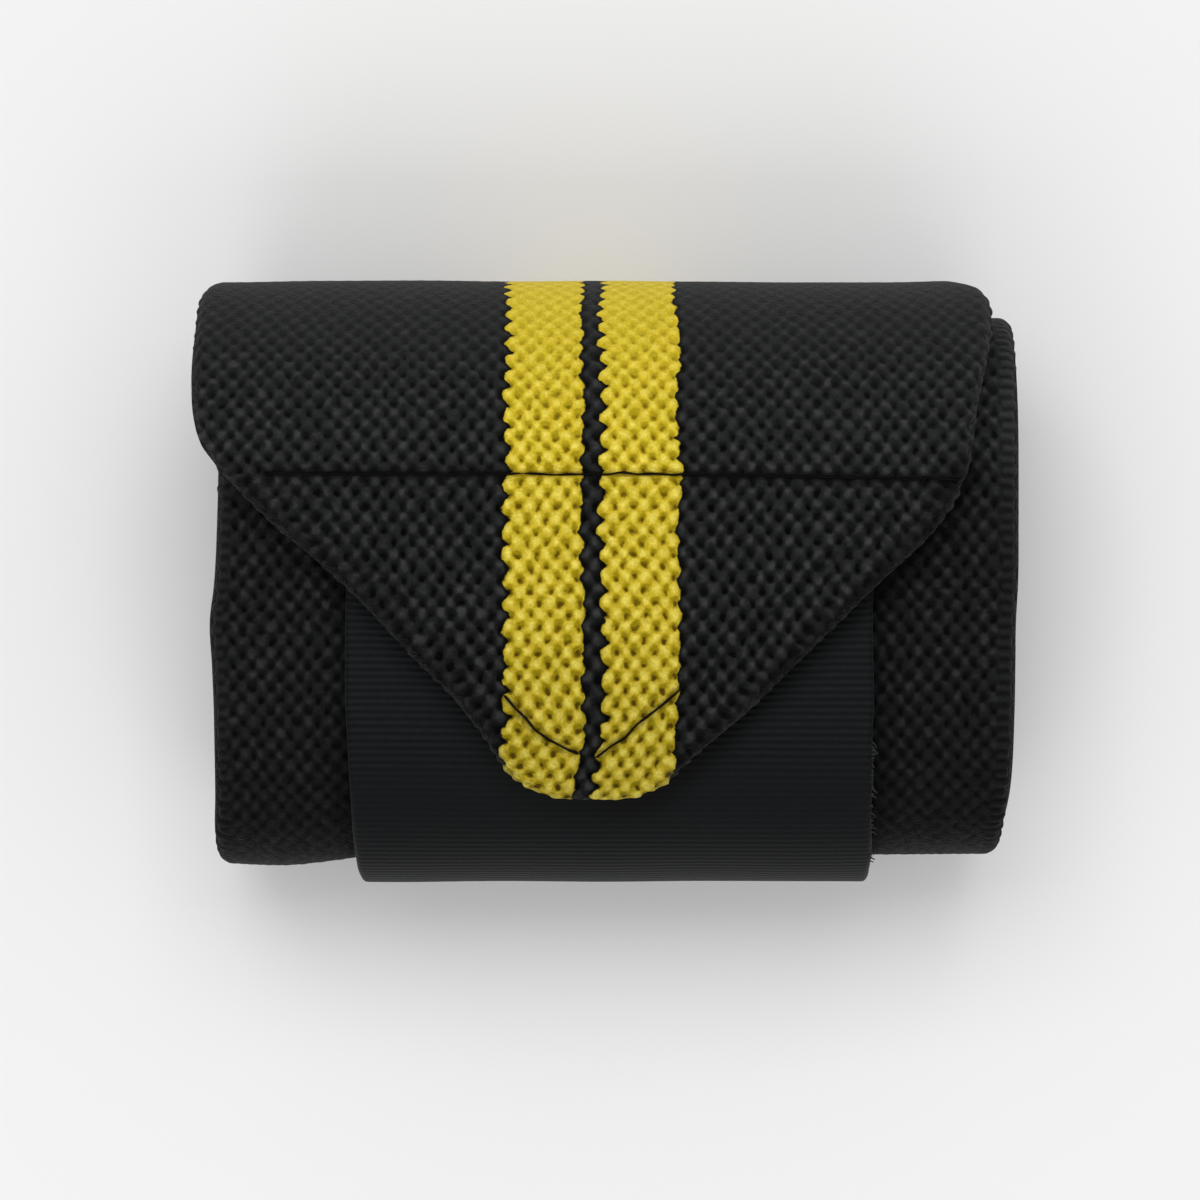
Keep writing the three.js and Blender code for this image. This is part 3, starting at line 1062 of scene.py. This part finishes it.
def build_tape(nodes, links, shader):
    # Painted shade between the ribs, lighter on their crests
    rib = map_range(nodes, links, attribute(nodes, "height"), *RIB_RANGE)
    grain = map_range(nodes, links, noise(nodes, links, TAPE_GRAIN), *GRAIN_RANGE)
    value = nodes.new("ShaderNodeRGB")
    value.outputs[0].default_value = (*TAPE_BLACK, 1.0)
    ribs = math_node(nodes, links, "MULTIPLY", rib, grain)
    shade = math_node(nodes, links, "MULTIPLY", ribs, attribute(nodes, "shade"))
    links.new(scaled(nodes, links, value.outputs[0], shade), shader.inputs["Base Color"])
    set_finish(shader, *TAPE_FINISH)
    bump(nodes, links, noise(nodes, links, TAPE_FUZZ), 0.35, 0.00012, shader)


def build_thread(nodes, links, shader):
    shader.inputs["Base Color"].default_value = (*THREAD_BLACK, 1.0)
    set_finish(shader, *THREAD_FINISH)
    bump(nodes, links, noise(nodes, links, THREAD_FUZZ), 0.4, 0.0001, shader)


def build_fibre(nodes, links, shader):
    shader.inputs["Base Color"].default_value = (*FIBRE_GREY, 1.0)
    set_finish(shader, *FIBRE_FINISH)


def build_floor(nodes, links, shader):
    shader.inputs["Base Color"].default_value = (*FLOOR_GREY, 1.0)
    set_finish(shader, *FLOOR_FINISH)


def dress(piece, made, node):
    piece.data.materials.append(made)
    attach(piece, "root")
    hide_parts(node)


def make_camera():
    data = bpy.data.cameras.new("camera")
    data.sensor_width = SENSOR
    data.lens = SENSOR * CAMERA_DISTANCE / (PHOTO_PIXELS * MM_PER_PIXEL)
    data.clip_start = 0.01
    camera = bpy.data.objects.new("camera", data)
    half = PHOTO_PIXELS / 2
    aim_x = (half - MIDDLE_PIXEL[0]) * MM_PER_PIXEL
    aim_y = (MIDDLE_PIXEL[1] - half) * MM_PER_PIXEL
    camera.location = (aim_x * MM, aim_y * MM, (MEASURED_HEIGHT + CAMERA_DISTANCE) * MM)
    bpy.context.scene.collection.objects.link(camera)
    bpy.context.scene.camera = camera


def area_light(name, place, target, size, power):
    data = bpy.data.lights.new(name, "AREA")
    data.shape = "RECTANGLE"
    data.size, data.size_y = size
    data.energy = power
    lamp = bpy.data.objects.new(name, data)
    lamp.location = place
    lamp.visible_camera = False
    away = np.array(place) - np.array(target)
    lamp.rotation_euler = (math.atan2(math.hypot(away[0], away[1]), away[2]), 0,
                           math.atan2(away[1], away[0]) + math.pi / 2)
    bpy.context.scene.collection.objects.link(lamp)


def make_studio():
    size = FLOOR_HALF
    mesh = bpy.data.meshes.new("floor")
    mesh.from_pydata([(-size, -size, 0), (size, -size, 0), (size, size, 0), (-size, size, 0)], [], [(0, 1, 2, 3)])
    floor = bpy.data.objects.new("floor", mesh)
    bpy.context.scene.collection.objects.link(floor)
    mesh.materials.append(material("floor", build_floor))
    world = bpy.data.worlds.new("world")
    world.use_nodes = True
    background = world.node_tree.nodes["Background"]
    background.inputs["Color"].default_value = (1, 1, 1, 1)
    background.inputs["Strength"].default_value = SURROUNDING
    bpy.context.scene.world = world
    for name, place, size, power in LIGHTS:
        area_light(name, place, LIGHTS_AIM, size, power)
    bpy.context.scene.view_settings.view_transform = "Standard"


make_camera()
make_studio()
knit_material = material("knit", build_knit)
outer_turn = make_outer_turn()
second_turn = make_second_turn()
inner_turns = make_inner_turns()
for piece in (outer_turn, second_turn, inner_turns):
    dress(piece, knit_material, "wrap_band")
tape = make_tape()
frays = make_frays()
dress(tape, material("tape", build_tape), "hook_tape")
dress(frays, material("fibre", build_fibre), "hook_tape")
thread_material = material("thread", build_thread)
stitches = [make_seam("stitches_root", ROOT_SEAM), make_seam("stitches_point", POINT_SEAM)]
for piece in stitches:
    dress(piece, thread_material, "wrap_band")
